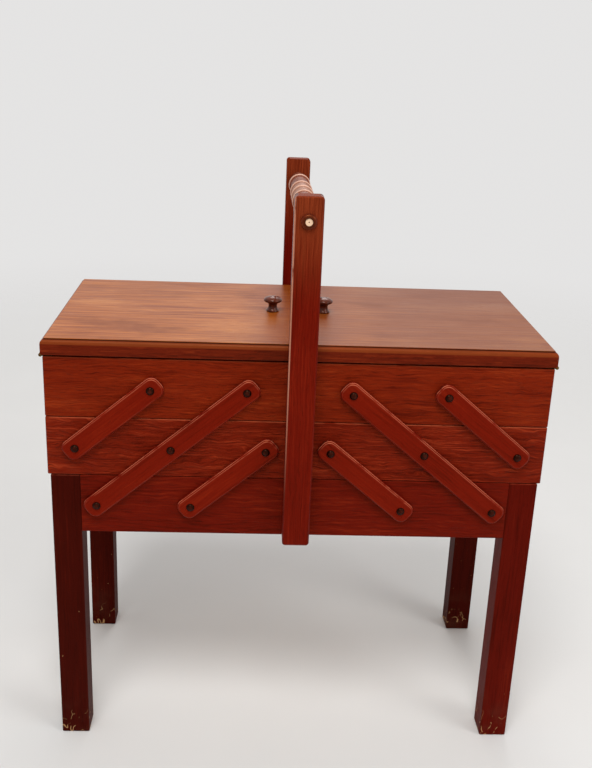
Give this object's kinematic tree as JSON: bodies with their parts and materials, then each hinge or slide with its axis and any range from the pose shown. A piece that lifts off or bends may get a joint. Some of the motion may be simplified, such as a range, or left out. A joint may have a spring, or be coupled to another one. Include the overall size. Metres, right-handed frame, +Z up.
{
  "type": "cantilever sewing box",
  "caption": "Wooden sewing carrier on four legs: a box under two pairs of trays that swing out on arms, with two hinged lids and a turned carrying rod between uprights.",
  "frame": {"origin": "on the ground, under the middle of the object", "axes": "+Z up, +X to the right along the lids, +Y towards the back; the two long sides are alike"},
  "size_m": [0.4568, 0.2664, 0.541],
  "materials": {
    "board_wood": "stained and varnished coarse-grained hardwood",
    "end_wood": "stained and varnished coarse-grained hardwood",
    "arm_wood": "red-stained varnished hardwood",
    "leg_wood": "dark red-stained varnished hardwood, scuffed at the feet",
    "lid_wood": "glossy varnished, faded brown",
    "rod_wood": "turned hardwood, worn pale by hands",
    "plywood": "plain plywood",
    "knob_wood": "dark polished turned hardwood",
    "pin_metal": "dark bronzed domed nail",
    "hinge_metal": "dull tarnished brass"
  },
  "bodies": {
    "root": {"leg_front_left": "leg_wood", "leg_front_right": "leg_wood", "leg_back_left": "leg_wood", "leg_back_right": "leg_wood", "box_front_board": "board_wood", "box_back_board": "board_wood", "box_left_end": "end_wood", "box_right_end": "end_wood", "box_bottom": "plywood", "upright_front": "arm_wood", "upright_back": "arm_wood", "upright_packers": "arm_wood", "upright_screws": "pin_metal", "handle_rod": "rod_wood", "rod_end_buttons": "arm_wood", "box_pivot_pins": "pin_metal"},
    "long_arms_left": {"long_arm_left_front": "arm_wood", "long_arm_left_back": "arm_wood"},
    "lower_arms_left": {"lower_arm_left_front": "arm_wood", "lower_arm_left_back": "arm_wood"},
    "upper_arms_left": {"upper_arm_left_front": "arm_wood", "upper_arm_left_back": "arm_wood"},
    "middle_tray_left": {"middle_tray_left_front": "board_wood", "middle_tray_left_back": "board_wood", "middle_tray_left_inner_end": "end_wood", "middle_tray_left_outer_end": "end_wood", "middle_tray_left_bottom": "plywood", "middle_tray_left_pins": "pin_metal"},
    "top_tray_left": {"top_tray_left_front": "board_wood", "top_tray_left_back": "board_wood", "top_tray_left_inner_end": "end_wood", "top_tray_left_outer_end": "end_wood", "top_tray_left_bottom": "plywood", "top_tray_left_pins": "pin_metal", "top_tray_left_hinge": "hinge_metal"},
    "lid_left": {"lid_left": "lid_wood", "lid_left_hinge": "hinge_metal", "lid_left_knob": "knob_wood"},
    "long_arms_right": {"long_arm_right_front": "arm_wood", "long_arm_right_back": "arm_wood"},
    "lower_arms_right": {"lower_arm_right_front": "arm_wood", "lower_arm_right_back": "arm_wood"},
    "upper_arms_right": {"upper_arm_right_front": "arm_wood", "upper_arm_right_back": "arm_wood"},
    "middle_tray_right": {"middle_tray_right_front": "board_wood", "middle_tray_right_back": "board_wood", "middle_tray_right_inner_end": "end_wood", "middle_tray_right_outer_end": "end_wood", "middle_tray_right_bottom": "plywood", "middle_tray_right_pins": "pin_metal"},
    "top_tray_right": {"top_tray_right_front": "board_wood", "top_tray_right_back": "board_wood", "top_tray_right_inner_end": "end_wood", "top_tray_right_outer_end": "end_wood", "top_tray_right_bottom": "plywood", "top_tray_right_pins": "pin_metal", "top_tray_right_hinge": "hinge_metal"},
    "lid_right": {"lid_right": "lid_wood", "lid_right_hinge": "hinge_metal", "lid_right_knob": "knob_wood"}
  },
  "joints": [
    {"name": "open_left", "type": "hinge", "parent": "root", "child": "long_arms_left", "pos_m": [-0.1813, 0, 0.2528], "axis": [0, -1, 0], "range_deg": [0, 100.39]},
    {"name": "middle_tray_left_level", "type": "hinge", "parent": "long_arms_left", "child": "middle_tray_left", "pos_m": [-0.1141, 0, 0.3088], "axis": [0, -1, 0], "range_deg": [-100.39, 0]},
    {"name": "top_tray_left_level", "type": "hinge", "parent": "long_arms_left", "child": "top_tray_left", "pos_m": [-0.0469, 0, 0.3648], "axis": [0, -1, 0], "range_deg": [-100.39, 0]},
    {"name": "lower_arms_left_turn", "type": "hinge", "parent": "root", "child": "lower_arms_left", "pos_m": [-0.0964, 0, 0.2528], "axis": [0, -1, 0], "range_deg": [0, 100.39]},
    {"name": "upper_arms_left_turn", "type": "hinge", "parent": "middle_tray_left", "child": "upper_arms_left", "pos_m": [-0.199, 0, 0.3088], "axis": [0, -1, 0], "range_deg": [0, 100.39]},
    {"name": "lid_left_hinge_turn", "type": "hinge", "parent": "top_tray_left", "child": "lid_left", "pos_m": [-0.2268, 0, 0.39345], "axis": [0, -1, 0], "range_deg": [0, 180]},
    {"name": "open_right", "type": "hinge", "parent": "root", "child": "long_arms_right", "pos_m": [0.1813, 0, 0.2528], "axis": [0, 1, 0], "range_deg": [0, 100.39]},
    {"name": "middle_tray_right_level", "type": "hinge", "parent": "long_arms_right", "child": "middle_tray_right", "pos_m": [0.1141, 0, 0.3088], "axis": [0, 1, 0], "range_deg": [-100.39, 0]},
    {"name": "top_tray_right_level", "type": "hinge", "parent": "long_arms_right", "child": "top_tray_right", "pos_m": [0.0469, 0, 0.3648], "axis": [0, 1, 0], "range_deg": [-100.39, 0]},
    {"name": "lower_arms_right_turn", "type": "hinge", "parent": "root", "child": "lower_arms_right", "pos_m": [0.0964, 0, 0.2528], "axis": [0, 1, 0], "range_deg": [0, 100.39]},
    {"name": "upper_arms_right_turn", "type": "hinge", "parent": "middle_tray_right", "child": "upper_arms_right", "pos_m": [0.199, 0, 0.3088], "axis": [0, 1, 0], "range_deg": [0, 100.39]},
    {"name": "lid_right_hinge_turn", "type": "hinge", "parent": "top_tray_right", "child": "lid_right", "pos_m": [0.2268, 0, 0.39345], "axis": [0, 1, 0], "range_deg": [0, 180]}
  ],
  "couplings": [
    {"joint": "middle_tray_left_level", "follows": "open_left", "ratio": -1},
    {"joint": "top_tray_left_level", "follows": "open_left", "ratio": -1},
    {"joint": "lower_arms_left_turn", "follows": "open_left", "ratio": 1},
    {"joint": "upper_arms_left_turn", "follows": "open_left", "ratio": 1},
    {"joint": "middle_tray_right_level", "follows": "open_right", "ratio": -1},
    {"joint": "top_tray_right_level", "follows": "open_right", "ratio": -1},
    {"joint": "lower_arms_right_turn", "follows": "open_right", "ratio": 1},
    {"joint": "upper_arms_right_turn", "follows": "open_right", "ratio": 1}
  ]
}
